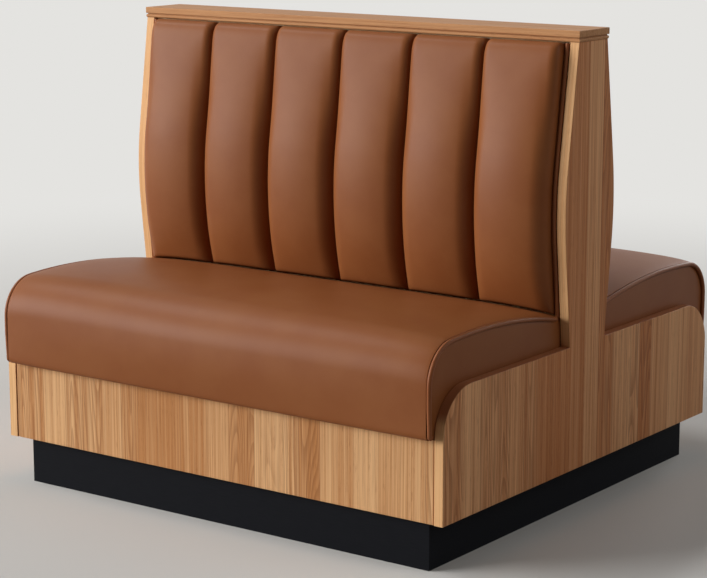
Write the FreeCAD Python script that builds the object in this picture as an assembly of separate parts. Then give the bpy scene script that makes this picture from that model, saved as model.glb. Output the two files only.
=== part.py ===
import FreeCAD, Part
import math
import os

from FreeCAD import Vector

# Two-sided booth bench: two seats, back to back, share one upholstered back between two T-shaped end panels.
# It stands on z = 0, centred on the origin. X runs along the seats and the front seat faces -Y.
# Everything that exists on both sides is modelled on the front one, where depth is measured from the
# middle of the bench towards the sitter, and is then turned half round for the rear one.

# Whole bench
bench_length = 1200.0        # over the outer faces of the end panels
base_depth = 1126.0          # over the front and rear edges of the end panels
plinth_height = 107.0
seat_peak_height = 475.0     # highest line of the cushion, at its ends
upright_height = 1038.5      # top of the end panels, under the cap

# End panels
panel_thickness = 22.0
arm_drop = 90.0              # top of the panel beside a seat, below the seat's highest line
arm_corner_radius = 100.0
upright_foot_half = 74.3     # half the upright's width where it leaves the arms
upright_top_half = 60.0
upright_peak_half = 108.2    # where the two straight tapers would meet
upright_peak_height = 689.0
upright_blend_radius = 750.0
panel_edge_chamfer = 0.8

# Boards of the base
plinth_board_thickness = 18.0
plinth_end_setback = 48.0    # toe space under the end panels
plinth_front_setback = 21.5  # toe space under the fascias
cross_board_place_share = 0.34
deck_thickness = 18.0
fascia_thickness = 18.0
fascia_setback = 1.5         # behind the end panels' edges
fascia_end_gap = 2.0         # shadow gap beside each end panel
fascia_edge_chamfer = 0.8

# Inner frame
rib_thickness = 18.0
rib_count = 3
rib_hole_radius = 45.0
rib_hole_share = 0.58
rail_thickness = 25.0
rail_height = 95.0
cleat_width = 30.0
cleat_height = 40.0
top_rail_height = 28.0
mid_rail_height = 60.0
mid_rail_thickness = 20.0
fit_gap = 0.5                # joiner's clearance between inner pieces

# Back
back_board_thickness = 9.0
back_recess = 12.5           # board face behind the upright's edge
back_board_foot_gap = 3.0
channel_count = 6
channel_gap = 0.6
channel_height = 57.0        # pad face to the crest
channel_wall = 10.0          # straight flank deep in the groove
channel_shoulder_radius = 44.0
channel_rounding = 44.0      # radius of the upper end
channel_top_gap = 3.0
channel_foot_height = 60.0   # lower end above the seat board, before it is trimmed to the cushion
pad_thickness = 6.0          # foam sheet that the channels are sewn to

# Seats
seat_board_thickness = 18.0
apron_thickness = 18.0
cushion_thickness = 108.0    # seat board to the cushion's highest line, at its ends
nose_height = 189.0          # lower front edge to the cushion's highest line, at its ends
nose_overhang = 28.0         # front of the cushion beyond the end panels' edges, at its ends
seat_peak_depth = 400.0
seat_crown_radius = 1480.0
seat_roll_radius = 93.0
seat_tuck_radius = 8.0
seat_end_gap = 1.0           # beside each end panel
seat_back_gap = 3.0          # between the cushion and the back board
crown_rise = 10.0            # the cushion's middle above its ends
nose_swell = 3.5             # the cushion's middle in front of its ends
cover_thickness = 3.0
cover_turn_in = 20.0         # the cover's end flaps reach this far behind the apron
cushion_foot_gap = 2.0       # above the fascia
soft_gap = 0.3               # between upholstered pieces that curve against each other

# Piping
round_sides = 8              # piping and fasteners have this many sides
welt_radius = 4.5
welt_side_gap = 1.5

# Cap
cap_base_thickness = 8.0
cap_board_thickness = 16.5
cap_groove_height = 2.2
cap_groove_depth = 4.0
cap_end_overhang = 2.5
cap_side_overhang = 3.0
cap_edge_chamfer = 1.0
cap_bead_radius = 3.4

# Fasteners
deck_screw_radius = 2.4
deck_screw_head_radius = 4.8
deck_screw_head_height = 2.6
deck_screw_length = 50.0
deck_screws_per_board = 3
bolt_radius = 4.0
bolt_length = 44.0
bolt_head_radius = 7.2
bolt_head_height = 5.3
bolt_places_share = (0.3, 0.85)
cap_screw_radius = 2.2
cap_screw_head_radius = 4.2
cap_screw_head_height = 2.4
cap_screw_length = 38.0
cap_screw_count = 4
bracket_leg = 30.0
bracket_width = 22.0
bracket_thickness = 2.0
bracket_places_share = (0.25, 0.75)
screw_gap = 0.1
overrun = 5.0                # how far a cutting shape runs past the face it opens

# Shares of the crown along half the cushion: (place, how much of the crown is there)
crown_shares = ((0.0, 1.0), (0.55, 0.96), (0.87, 0.68), (1.0, 0.0))

# Places of the channel's sections up the blend of the back
blend_shares = (0.0, 0.33, 0.67, 1.0)

# Places that follow from the sizes above
half_length = bench_length / 2
half_inner = half_length - panel_thickness
half_depth = base_depth / 2
arm_height = seat_peak_height - arm_drop
cushion_foot = seat_peak_height - nose_height
fascia_top = cushion_foot - cushion_foot_gap
seat_board_top = seat_peak_height - cushion_thickness
fascia_face = half_depth - fascia_setback
frame_face = fascia_face - fascia_thickness
deck_top = plinth_height + deck_thickness
seat_board_foot = seat_board_top - seat_board_thickness
half_clear = half_inner - fit_gap
apron_back = fascia_face - apron_thickness
nose_depth = half_depth + nose_overhang
half_cushion = half_inner - seat_end_gap
cap_board_foot = upright_height + cap_base_thickness
rib_offset = -back_recess - back_board_thickness
channel_field = 2 * (half_inner - 2 * welt_radius - 2 * welt_side_gap)
channel_pitch = channel_field / channel_count
channel_top = upright_height - channel_top_gap
pad_face = -back_recess + pad_thickness

os.makedirs("parts", exist_ok=True)


def save(name, solids):
    """Write one piece, or a set of like pieces, as a part of its own."""
    whole = solids[0] if len(solids) == 1 else Part.makeCompound(solids)
    whole.exportStep(f"parts/{name}.step")


def save_both_sides(name, solids, front="front", rear="rear"):
    """Write the front piece, and the same piece turned half round for the rear."""
    save(name.format(front), solids)
    save(name.format(rear), [turned(solid) for solid in solids])


def turned(solid):
    """The same solid on the other side of the bench."""
    copy = solid.copy()
    copy.rotate(Vector(0, 0, 0), Vector(0, 0, 1), 180)
    return copy


def at(x, depth, z):
    """A point given by its depth from the middle of the bench towards the front."""
    return Vector(x, -depth, z)


def block(x_range, depth_range, z_range):
    """A straight board between two places along each direction."""
    low = at(min(x_range), max(depth_range), min(z_range))
    high = at(max(x_range), min(depth_range), max(z_range))
    size = high - low
    return Part.makeBox(size.x, size.y, size.z, low)


def closed(edges):
    """One closed wire from edges in any order."""
    return Part.Wire(Part.sortEdges(edges)[0])


def path(points):
    """Straight edges from point to point."""
    return [Part.LineSegment(a, b).toShape() for a, b in zip(points, points[1:])]


def extruded(wire, x_low, x_high):
    """A board cut to an outline that was drawn in the plane x = 0."""
    face = Part.Face(wire)
    face.translate(Vector(x_low, 0, 0))
    return face.extrude(Vector(x_high - x_low, 0, 0))


# The upright's side: two straight tapers, blended by an arc

lower_lean = math.atan2(upright_peak_half - upright_foot_half, upright_peak_height - arm_height)
upper_lean = math.atan2(upright_peak_half - upright_top_half, upright_height - upright_peak_height)


def blend_centre():
    """Centre of the blending arc, as (depth, z)."""
    half_turn = (lower_lean + upper_lean) / 2
    reach = upright_blend_radius / math.cos(half_turn)
    tilt = (upper_lean - lower_lean) / 2
    return (
        upright_peak_half - reach * math.cos(tilt),
        upright_peak_height - reach * math.sin(tilt),
    )


def blend_point(offset, lean):
    """Point of the arc, moved out by an offset, where its normal rises by the angle lean."""
    depth, z = blend_centre()
    radius = upright_blend_radius + offset
    return depth + radius * math.cos(lean), z + radius * math.sin(lean)


def back_depth(z, offset=0.0):
    """Depth of the upright's side at a height, moved out (or in, below zero) by an offset."""
    low_depth, low_z = blend_point(offset, -lower_lean)
    high_depth, high_z = blend_point(offset, upper_lean)
    if z < low_z:
        return low_depth - (low_z - z) * math.tan(lower_lean)
    if z > high_z:
        return high_depth - (z - high_z) * math.tan(upper_lean)
    depth, centre_z = blend_centre()
    return depth + math.sqrt((upright_blend_radius + offset) ** 2 - (z - centre_z) ** 2)


def side_edges(offset, z_low, z_high, x=0.0, side=1):
    """The upright's side as edges, from one height to another: front with side 1, rear with -1."""
    low = blend_point(offset, -lower_lean)
    middle = blend_point(offset, 0.0)
    high = blend_point(offset, upper_lean)
    foot = (back_depth(z_low, offset), z_low)
    top = (back_depth(z_high, offset), z_high)
    foot, low, middle, high, top = (
        at(x, side * depth, z) for depth, z in (foot, low, middle, high, top)
    )
    arc = Part.Arc(low, middle, high).toShape()
    return path([foot, low]) + [arc] + path([high, top])


def t_outline(offset, half_base, z_foot, z_arm, z_top, corner_radius):
    """T-shaped outline: a broad base with rounded shoulders and the swelling upright on it."""
    edges = []
    for side in (1, -1):
        arm_root = at(0, side * back_depth(z_arm, offset), z_arm)
        arm_end = at(0, side * (half_base - corner_radius), z_arm)
        corner_low = at(0, side * half_base, z_arm - corner_radius)
        diagonal = corner_radius * math.sqrt(0.5)
        corner_middle = at(
            0,
            side * (half_base - corner_radius + diagonal),
            z_arm - corner_radius + diagonal,
        )
        if corner_radius > 0:
            edges.append(Part.Arc(arm_end, corner_middle, corner_low).toShape())
        edges += path([arm_root, arm_end])
        edges += path([corner_low, at(0, side * half_base, z_foot)])
        edges += side_edges(offset, z_arm, z_top, side=side)
    edges += path([at(0, half_base, z_foot), at(0, -half_base, z_foot)])
    top_half = back_depth(z_top, offset)
    edges += path([at(0, top_half, z_top), at(0, -top_half, z_top)])
    return closed(edges)


def volume(solid):
    return solid.Volume


def lying_along_x(edge):
    """True for an edge that runs along the bench."""
    first, last = edge.Vertexes[0].Point, edge.Vertexes[-1].Point
    return abs(first.x - last.x) > (first - last).Length / 2


def eased(solid, radius, chosen):
    """Round over the chosen edges."""
    return solid.makeFillet(radius, [edge for edge in solid.Edges if chosen(edge)])


# End panels

def end_panel(side):
    """T-shaped panel at one end, with its bolt holes from the inside and its outline eased."""
    outline = t_outline(0.0, half_depth, plinth_height, arm_height, upright_height, arm_corner_radius)
    inner, outer = sorted((side * half_inner, side * half_length), key=abs)
    panel = extruded(outline, min(inner, outer), max(inner, outer))
    rims = [edge for edge in panel.Edges if not lying_along_x(edge)]
    panel = panel.makeChamfer(panel_edge_chamfer, rims)
    return with_bolt_holes(panel, side)


# Base

def plinth_sizes():
    """Half length and half depth of the plinth."""
    return half_length - plinth_end_setback, fascia_face - plinth_front_setback


def plinth_long_board():
    """Plinth board under the fascia, drilled for the deck screws."""
    half_x, half_y = plinth_sizes()
    return drilled(block((-half_x, half_x), (half_y - plinth_board_thickness, half_y), (0, plinth_height)))


def plinth_cross_board(x_low):
    """Plinth board that runs from front to rear between the long ones."""
    half_y = plinth_sizes()[1] - plinth_board_thickness
    return block((x_low, x_low + plinth_board_thickness), (-half_y, half_y), (0, plinth_height))


def deck_screw_places():
    """Places of the screws along the front plinth board, and the same at the rear."""
    half_x, half_y = plinth_sizes()
    step = 2 * half_x / deck_screws_per_board
    depth = half_y - plinth_board_thickness / 2
    xs = [-half_x + step * (n + 0.5) for n in range(deck_screws_per_board)]
    return [(x, side * depth) for side in (1, -1) for x in xs]


def fastener(under_head, heading, shank_radius, length, head_radius, head_height):
    """Screw or bolt: under_head is where the head meets the piece that it draws down."""
    shank = ring(under_head, heading, shank_radius).extrude(heading * length)
    head = ring(under_head, heading, head_radius).extrude(heading * -head_height)
    return shank.fuse(head).removeSplitter().Solids[0]


def fastener_hole(under_head, heading, shank_radius, length):
    """The hole that a fastener's shank goes through."""
    start = under_head - heading * overrun
    return ring(start, heading, shank_radius + screw_gap).extrude(heading * (length + screw_gap + overrun))


def deck_screw(x, depth):
    return fastener(
        at(x, depth, deck_top), Vector(0, 0, -1), deck_screw_radius, deck_screw_length,
        deck_screw_head_radius, deck_screw_head_height,
    )


def drilled(board):
    """The board with a hole for each deck screw that meets it."""
    for x, depth in deck_screw_places():
        hole = fastener_hole(at(x, depth, deck_top), Vector(0, 0, -1), deck_screw_radius, deck_screw_length)
        if board.BoundBox.intersect(hole.BoundBox):
            board = board.cut(hole)
    return board


def fascia():
    """Oak board under the seat, set just behind the end panels' edges."""
    board = block(
        (-half_inner + fascia_end_gap, half_inner - fascia_end_gap),
        (frame_face, fascia_face),
        (plinth_height, fascia_top),
    )
    face_edges = [edge for edge in board.Edges if edge.BoundBox.YMax < -frame_face - fascia_edge_chamfer]
    return board.makeChamfer(fascia_edge_chamfer, face_edges)


# Ribs, rails and cleats inside

def rib_places():
    """Middle of each rib along the bench."""
    step = 2 * half_inner / (rib_count + 1)
    return [-half_inner + step * (n + 1) for n in range(rib_count)]


def mid_rail():
    """Lath let into the ribs behind the broadest part of the back board."""
    z_low = upright_peak_height - mid_rail_height / 2
    z_high = z_low + mid_rail_height
    face = min(back_depth(z_low, rib_offset), back_depth(z_high, rib_offset))
    return block((-half_clear, half_clear), (face - mid_rail_thickness, face), (z_low, z_high))


def grown(solid, gap):
    """The space a straight piece takes with a clearance all round."""
    box = solid.BoundBox
    margin = Vector(gap, gap, gap)
    low = Vector(box.XMin, box.YMin, box.ZMin) - margin
    size = Vector(box.XLength, box.YLength, box.ZLength) + margin * 2
    return Part.makeBox(size.x, size.y, size.z, low)


def rib(x):
    """T-shaped plywood rib: it carries both seat boards, both back boards and the top rail."""
    half_base = frame_face - rail_thickness - fit_gap
    outline = t_outline(
        rib_offset - fit_gap, half_base, deck_top, seat_board_foot, upright_height - top_rail_height, 0.0
    )
    plate = extruded(outline, x - rib_thickness / 2, x + rib_thickness / 2)
    lath = mid_rail()
    notch = grown(lath, fit_gap).fuse(grown(lath.translated(at(0, mid_rail_thickness, 0)), fit_gap))
    for side in (notch, turned(notch)):
        plate = plate.cut(side)
    hole_z = (deck_top + seat_board_foot) / 2
    for depth in (half_base * rib_hole_share, -half_base * rib_hole_share):
        start = at(x - rib_thickness, depth, hole_z)
        hole = Part.makeCylinder(rib_hole_radius, 2 * rib_thickness, start, Vector(1, 0, 0))
        plate = plate.cut(hole)
    return plate


def seat_rail():
    """Rail behind the fascia's upper edge, under the seat board's front and between the cover's flaps."""
    half = half_seat_board()
    return block(
        (-half, half),
        (frame_face - rail_thickness, frame_face),
        (seat_board_foot - rail_height, seat_board_foot),
    )


def cleat_range():
    """From where to where a cleat runs, as depths."""
    return back_depth(seat_board_foot, rib_offset), frame_face - rail_thickness - fit_gap


def cleat(side):
    """Batten bolted to an end panel under the seat board's end."""
    x_range = (side * half_inner, side * (half_inner - cleat_width))
    batten = block(x_range, cleat_range(), (seat_board_foot - cleat_height, seat_board_foot))
    return with_bolt_holes(batten, side)


def bolt_places(side):
    """Bolts at one end: two through the front cleat and two through the rear one."""
    near, far = cleat_range()
    x = side * (half_inner - cleat_width)
    z = seat_board_foot - cleat_height / 2
    depths = [near + (far - near) * share for share in bolt_places_share]
    return [at(x, turn * depth, z) for turn in (1, -1) for depth in depths]


def with_bolt_holes(piece, side):
    """The piece with a hole for each bolt of that end that meets it."""
    for place in bolt_places(side):
        hole = fastener_hole(place, Vector(side, 0, 0), bolt_radius, bolt_length)
        if piece.BoundBox.intersect(hole.BoundBox):
            piece = piece.cut(hole)
    return piece


def bolt(place, side):
    """Bolt that draws the end panel to its cleat."""
    return fastener(place, Vector(side, 0, 0), bolt_radius, bolt_length, bolt_head_radius, bolt_head_height)


# Back boards and the rails they are fixed to

def board_outline(inner, outer, z_low, z_high):
    """Outline of a curved sheet between two offsets from the upright's side."""
    ends = []
    for z in (z_low, z_high):
        ends += path([at(0, back_depth(z, inner), z), at(0, back_depth(z, outer), z)])
    return closed(side_edges(inner, z_low, z_high) + side_edges(outer, z_low, z_high) + ends)


def back_board():
    """Curved plywood board that follows the upright's side, behind its edge."""
    outline = board_outline(
        rib_offset, -back_recess, seat_board_top + back_board_foot_gap, upright_height - fit_gap
    )
    return extruded(outline, -half_clear, half_clear)


def back_pad():
    """Foam sheet on the back board, above the cushion."""
    half = channel_field / 2
    outline = board_outline(-back_recess, pad_face, seat_peak_height + crown_rise, channel_top)
    return extruded(outline, -half, half)


def top_rail():
    """Rail between the end panels' tops that the cap is screwed to."""
    half = back_depth(upright_height, rib_offset) - fit_gap
    rail = block((-half_clear, half_clear), (-half, half), (upright_height - top_rail_height, upright_height))
    return with_cap_screw_holes(rail)


# Cap

def cap_half_depth():
    return back_depth(upright_height) + cap_side_overhang


def cap_base():
    """Thin board with a bead all round, straight on the end panels."""
    half_x = half_length + cap_end_overhang - cap_groove_height / 2
    half_y = cap_half_depth() - cap_groove_height / 2
    board = block((-half_x, half_x), (-half_y, half_y), (upright_height, cap_board_foot))
    board = eased(board, cap_bead_radius, lambda edge: edge.BoundBox.ZLength < cap_bead_radius)
    return with_cap_screw_holes(board)


def cap_board():
    """Top board with a shadow groove under its edge."""
    half_x = half_length + cap_end_overhang
    half_y = cap_half_depth()
    foot = cap_board_foot + cap_groove_height
    slab = block((-half_x, half_x), (-half_y, half_y), (foot, cap_board_foot + cap_board_thickness))
    slab = slab.makeChamfer(cap_edge_chamfer, slab.Edges)
    inner_x, inner_y = half_x - cap_groove_depth, half_y - cap_groove_depth
    tongue = block((-inner_x, inner_x), (-inner_y, inner_y), (cap_board_foot, foot + cap_groove_height))
    board = slab.fuse(tongue).removeSplitter().Solids[0]
    return with_cap_screw_holes(board)


def cap_screw_places():
    step = 2 * half_inner / cap_screw_count
    return [-half_inner + step * (n + 0.5) for n in range(cap_screw_count)]


def cap_screw_seat(x):
    """Where a cap screw's head meets the top rail."""
    return Vector(x, 0, upright_height - top_rail_height)


def cap_screw(x):
    """Screw from below, through the top rail and the cap's base into its top board."""
    return fastener(
        cap_screw_seat(x), Vector(0, 0, 1), cap_screw_radius, cap_screw_length,
        cap_screw_head_radius, cap_screw_head_height,
    )


def with_cap_screw_holes(piece):
    up = Vector(0, 0, 1)
    for x in cap_screw_places():
        piece = piece.cut(fastener_hole(cap_screw_seat(x), up, cap_screw_radius, cap_screw_length))
    return piece


# Seat cushion

def crown_circles(share, inset):
    """Circles of a cushion section, as centre depth, centre z and radius: the crown, then the front roll."""
    front = nose_depth + nose_swell * share
    peak = seat_peak_height + crown_rise * share
    crown_z = peak - seat_crown_radius
    roll_depth = front - seat_roll_radius
    apart = seat_crown_radius - seat_roll_radius
    roll_z = crown_z + math.sqrt(apart ** 2 - (roll_depth - seat_peak_depth) ** 2)
    crown = (seat_peak_depth, crown_z, seat_crown_radius - inset)
    roll = (roll_depth, roll_z, seat_roll_radius - inset)
    return crown, roll


def on_circle(circle, angle):
    depth, z, radius = circle
    return depth + radius * math.cos(angle), z + radius * math.sin(angle)


def roll_end(share):
    """Angle at which the front roll runs into the crown."""
    crown, roll = crown_circles(share, 0.0)
    return math.atan2(roll[1] - crown[1], roll[0] - crown[0])


def crown_z(depth, share, inset=0.0):
    """Height of the cushion's top at a depth."""
    centre_depth, centre_z, radius = crown_circles(share, inset)[0]
    return centre_z + math.sqrt(radius ** 2 - (depth - centre_depth) ** 2)


def seat_back_depth():
    """Rear face of the cushion, just in front of the back board at the cushion's own height."""
    return back_depth(seat_peak_height, -back_recess) + seat_back_gap


def top_edges(x, share, inset, rear, low):
    """The cushion's line from its lower front edge over the roll and the crown to its rear edge."""
    crown, roll = crown_circles(share, inset)
    turn = roll_end(share)
    front = roll[0] + roll[2]
    rear_turn = math.atan2(crown_z(rear, share, inset) - crown[1], rear - crown[0])
    front_low = at(x, front, low)
    roll_start = at(x, front, roll[1])
    roll_middle = at(x, *on_circle(roll, turn / 2))
    roll_stop = at(x, *on_circle(roll, turn))
    crown_middle = at(x, *on_circle(crown, (turn + rear_turn) / 2))
    crown_stop = at(x, *on_circle(crown, rear_turn))
    return (
        path([front_low, roll_start])
        + [Part.Arc(roll_start, roll_middle, roll_stop).toShape()]
        + [Part.Arc(roll_stop, crown_middle, crown_stop).toShape()]
    )


def tuck_edge(x, front, foot, tuck):
    """The rounded lower front edge of the nose."""
    diagonal = tuck * math.sqrt(0.5)
    return Part.Arc(
        at(x, front - tuck, foot),
        at(x, front - tuck + diagonal, foot + tuck - diagonal),
        at(x, front, foot + tuck),
    ).toShape()


def seat_section(x, share, inset, foot, under, step):
    """Section across the cushion: foot is the nose's lower edge, under and step go round the boards."""
    crown, roll = crown_circles(share, inset)
    front = roll[0] + roll[2]
    rear = seat_back_depth() + inset
    tuck = seat_tuck_radius - inset
    rear_top = (rear, crown_z(rear, share, inset))
    corners = (rear_top, (rear, under), (step, under), (step, foot), (front - tuck, foot))
    below = path([at(x, depth, z) for depth, z in corners])
    nose = tuck_edge(x, front, foot, tuck)
    return closed([nose] + top_edges(x, share, inset, rear, foot + tuck) + below)


def cushion_form(inset, foot, under, step):
    """Crowned body lofted along the bench through sections that draw in towards its ends."""
    half = half_cushion - inset
    stations = [(-place, share) for place, share in reversed(crown_shares[1:])] + list(crown_shares)
    sections = [seat_section(half * place, share, inset, foot, under, step) for place, share in stations]
    return Part.makeLoft(sections, True, True)


def seat_cover():
    """Leather cover: over the top, down the ends and the front, and turned in round the apron."""
    outside = cushion_form(0.0, cushion_foot, seat_board_foot, apron_back)
    inside = cushion_form(
        cover_thickness, cushion_foot + cover_thickness, seat_board_foot - overrun, apron_back - overrun
    )
    cover = outside.cut(inside)
    for side in (1, -1):
        x_range = (side * (half_cushion - cover_thickness), side * half_cushion)
        depth_range = (apron_back - cover_turn_in, apron_back)
        cover = cover.fuse(block(x_range, depth_range, (cushion_foot, seat_board_foot)))
    return cover.removeSplitter().Solids[0]


def seat_foam():
    """Foam on the seat board and in front of the apron."""
    return cushion_form(
        cover_thickness + soft_gap, cushion_foot + cover_thickness + soft_gap, seat_board_top, fascia_face
    )


def half_seat_board():
    return half_cushion - cover_thickness - soft_gap


def seat_board():
    rear = seat_back_depth() + cover_thickness + soft_gap
    half = half_seat_board()
    return block((-half, half), (rear, apron_back), (seat_board_foot, seat_board_top))


def seat_apron():
    """Upright board at the seat's front edge that the nose is padded over."""
    half = half_seat_board()
    return block((-half, half), (apron_back, fascia_face), (cushion_foot + cover_thickness, seat_board_top))


def ring(centre, heading, radius):
    """Eight-sided face square to a heading, for piping and fasteners."""
    across = Vector(1, 0, 0) if abs(heading.x) < abs(heading.z) + abs(heading.y) else Vector(0, 1, 0)
    other = heading.cross(across).normalize()
    turns = [2 * math.pi * (n + 0.5) / round_sides for n in range(round_sides + 1)]
    return Part.Face(Part.makePolygon([
        centre + across * (radius * math.cos(turn)) + other * (radius * math.sin(turn)) for turn in turns
    ]))


def tube(edges, radius):
    """Piping along straight edges and arcs that run into each other."""
    spine = Part.Wire(Part.sortEdges(edges)[0])
    lengths = []
    for edge in spine.OrderedEdges:
        near, far = edge.FirstParameter, edge.LastParameter
        if edge.Orientation == "Reversed":
            near, far = far, near
        start = edge.valueAt(near)
        if edge.Curve.TypeId == "Part::GeomLine":
            lengths.append(ring(start, edge.valueAt(far) - start, radius).extrude(edge.valueAt(far) - start))
            continue
        centre = edge.Curve.Center
        arm, end_arm = start - centre, edge.valueAt(far) - centre
        axis = arm.cross(end_arm)
        turn = math.degrees(arm.getAngle(end_arm))
        lengths.append(ring(start, axis.cross(arm), radius).revolve(centre, axis, turn))
    return lengths[0].fuse(lengths[1:]).removeSplitter().Solids[0]


def seat_welt(side):
    """Piping on the cushion's end edge, from under the nose to the upright."""
    x = side * (half_cushion + welt_radius + screw_gap)
    rear = back_depth(seat_peak_height) + 2 * welt_radius
    nose = tuck_edge(x, nose_depth, cushion_foot, seat_tuck_radius)
    return tube([nose] + top_edges(x, 0.0, 0.0, rear, cushion_foot + seat_tuck_radius), welt_radius)


# Channels of the back

def channel_section(lean):
    """Section square to the back, at its lean there: deep flanks, round shoulders and a gentle crest."""
    centre_depth, centre_z = blend_centre()
    base = centre_depth + upright_blend_radius + pad_face
    half = (channel_pitch - channel_gap) / 2
    flat = half - channel_shoulder_radius
    over = channel_height - channel_wall
    spare = over - channel_shoulder_radius
    crest_radius = (flat ** 2 + over ** 2 - channel_shoulder_radius ** 2) / (2 * spare)
    crest = (0.0, base + channel_height - crest_radius, crest_radius)
    corner = (flat, base + channel_wall, channel_shoulder_radius)
    turn = math.atan2(corner[1] - crest[1], corner[0])

    def spot(circle, angle, side):
        across, depth = on_circle(circle, angle)
        return at(side * across, depth, centre_z)

    back, wall = base - overrun, base + channel_wall
    flanks = ((half, wall), (half, back), (-half, back), (-half, wall))
    edges = path([at(across, depth, centre_z) for across, depth in flanks])
    for side in (1, -1):
        start, middle, stop = (spot(corner, angle, side) for angle in (0.0, turn / 2, turn))
        edges.append(Part.Arc(start, middle, stop).toShape())
    ends = spot(crest, turn, -1), at(0, base + channel_height, centre_z), spot(crest, turn, 1)
    edges.append(Part.Arc(*ends).toShape())
    section = closed(edges)
    section.rotate(at(0, centre_depth, centre_z), Vector(-1, 0, 0), math.degrees(lean))
    return section


def channel_form():
    """Body of one channel, from inside the cushion's space up to its rounded end under the cap."""
    leans = [-lower_lean + (lower_lean + upper_lean) * share for share in blend_shares]
    sections = [channel_section(lean) for lean in leans]
    foot = seat_board_top + channel_foot_height
    drop = (blend_point(pad_face, -lower_lean)[1] - foot) / math.cos(lower_lean)
    rise = (channel_top + channel_height - blend_point(pad_face, upper_lean)[1]) / math.cos(upper_lean)
    lower = Part.Face(sections[0]).extrude(at(0, -math.sin(lower_lean), -math.cos(lower_lean)) * drop)
    upper = Part.Face(sections[-1]).extrude(at(0, -math.sin(upper_lean), math.cos(upper_lean)) * rise)
    body = Part.makeLoft(sections, True, True).fuse([lower, upper]).removeSplitter()
    behind = board_outline(rib_offset, pad_face + soft_gap, foot - overrun, channel_top + overrun)
    body = body.cut(extruded(behind, -channel_pitch, channel_pitch))
    return body.cut(channel_end_tool())


def channel_end_tool():
    """Everything above and outside the rounded upper end of a channel."""
    z_start = channel_top - channel_rounding
    crest = back_depth(z_start, pad_face) + channel_height
    diagonal = channel_rounding * math.sqrt(0.5)
    start = at(0, crest, z_start)
    middle = at(0, crest - channel_rounding + diagonal, z_start + diagonal)
    stop = at(0, crest - channel_rounding, channel_top)
    far, high = crest + channel_height, channel_top + 2 * channel_height
    corners = [at(0, 0, channel_top), at(0, 0, high), at(0, far, high), at(0, far, z_start)]
    outline = closed([Part.Arc(start, middle, stop).toShape()] + path([stop] + corners + [start]))
    return extruded(outline, -channel_pitch, channel_pitch)


def channel_places():
    return [channel_pitch * (n - (channel_count - 1) / 2) for n in range(channel_count)]


def back_welt(side):
    """Piping down the channels' outer flank, beside the end panel."""
    x = side * (half_inner - welt_side_gap - welt_radius)
    offset = -back_recess + welt_radius + screw_gap
    z_low = crown_z(back_depth(seat_peak_height), 0.0) + welt_radius
    return tube(side_edges(offset, z_low, channel_top, x=x), welt_radius)


# Seat brackets

def bracket_places():
    """Middle of each bracket along the bench: between the ribs and the ends."""
    stops = [-half_inner] + rib_places() + [half_inner]
    places = []
    for share in bracket_places_share:
        places += [low + (high - low) * share for low, high in (stops[:2], stops[-2:])]
    return sorted(places)


def seat_bracket(x):
    """Steel angle that holds the seat board down to the seat rail."""
    corner = frame_face - rail_thickness
    under = seat_board_foot
    x_range = (x - bracket_width / 2, x + bracket_width / 2)
    upright_leg = block(x_range, (corner - bracket_thickness, corner), (under - bracket_leg, under))
    level_leg = block(x_range, (corner - bracket_leg, corner), (under - bracket_thickness, under))
    return upright_leg.fuse(level_leg).removeSplitter().Solids[0]


# Write the base
plinth_half_x = plinth_sizes()[0]
cross_x = plinth_half_x * cross_board_place_share
save_both_sides("plinth_{}_board", [plinth_long_board()])
save("plinth_left_board", [plinth_cross_board(-plinth_half_x)])
save("plinth_right_board", [plinth_cross_board(plinth_half_x - plinth_board_thickness)])
save("plinth_cross_board_left", [plinth_cross_board(-cross_x - plinth_board_thickness)])
save("plinth_cross_board_right", [plinth_cross_board(cross_x)])
deck = block((-half_clear, half_clear), (-frame_face, frame_face), (plinth_height, deck_top))
save("base_deck", [drilled(deck)])
save("end_panel_left", [end_panel(-1)])
save("end_panel_right", [end_panel(1)])
save_both_sides("{}_fascia", [fascia()])

# Write the inner frame
for number, place in enumerate(rib_places(), 1):
    save(f"rib_{number}", [rib(place)])
save_both_sides("seat_rail_{}", [seat_rail()])
front_cleats = [cleat(-1), cleat(1)]
save("seat_cleats", front_cleats + [turned(batten) for batten in front_cleats])
save("top_rail", [top_rail()])
save_both_sides("mid_rail_{}", [mid_rail()])
save_both_sides("back_board_{}", [back_board()])
save_both_sides("back_pad_{}", [back_pad()])

# Write the cap
save("cap_base", [cap_base()])
save("cap_board", [cap_board()])

# Write the seats
save_both_sides("seat_board_{}", [seat_board()])
save_both_sides("seat_apron_{}", [seat_apron()])
save_both_sides("seat_foam_{}", [seat_foam()])
save_both_sides("seat_cover_{}", [seat_cover()])
save_both_sides("seat_welts_{}", [seat_welt(-1), seat_welt(1)])

# Write the back
channel = channel_form()
seat_space = cushion_form(-soft_gap, cushion_foot, seat_board_foot, apron_back)
for number, place in enumerate(channel_places(), 1):
    trimmed = channel.translated(Vector(place, 0, 0)).cut(seat_space)
    save_both_sides("back_channel_{}_" + str(number), [max(trimmed.Solids, key=volume)])
save_both_sides("back_welts_{}", [back_welt(-1), back_welt(1)])

# Write the fasteners
save("deck_screws", [deck_screw(x, depth) for x, depth in deck_screw_places()])
end_bolts = [bolt(place, side) for side in (-1, 1) for place in bolt_places(side)]
save("end_panel_bolts", end_bolts)
save("cap_screws", [cap_screw(x) for x in cap_screw_places()])
front_brackets = [seat_bracket(x) for x in bracket_places()]
save("seat_brackets", front_brackets + [turned(angle) for angle in front_brackets])
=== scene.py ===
# %% [markdown]
# # A two-sided booth bench
# The bench has two leather seats, back to back, that share one upright back between two T-shaped oak end
# panels. Its boards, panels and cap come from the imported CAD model, which is loaded first and never moved.
# This script gives them their finish, and makes the upholstery: two seat cushions, twelve back channels on a
# thin lining, and the piping along their edges. All sizes are in metres, and the front seat faces -Y.

# %% Load the fixed frame
import math

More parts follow.
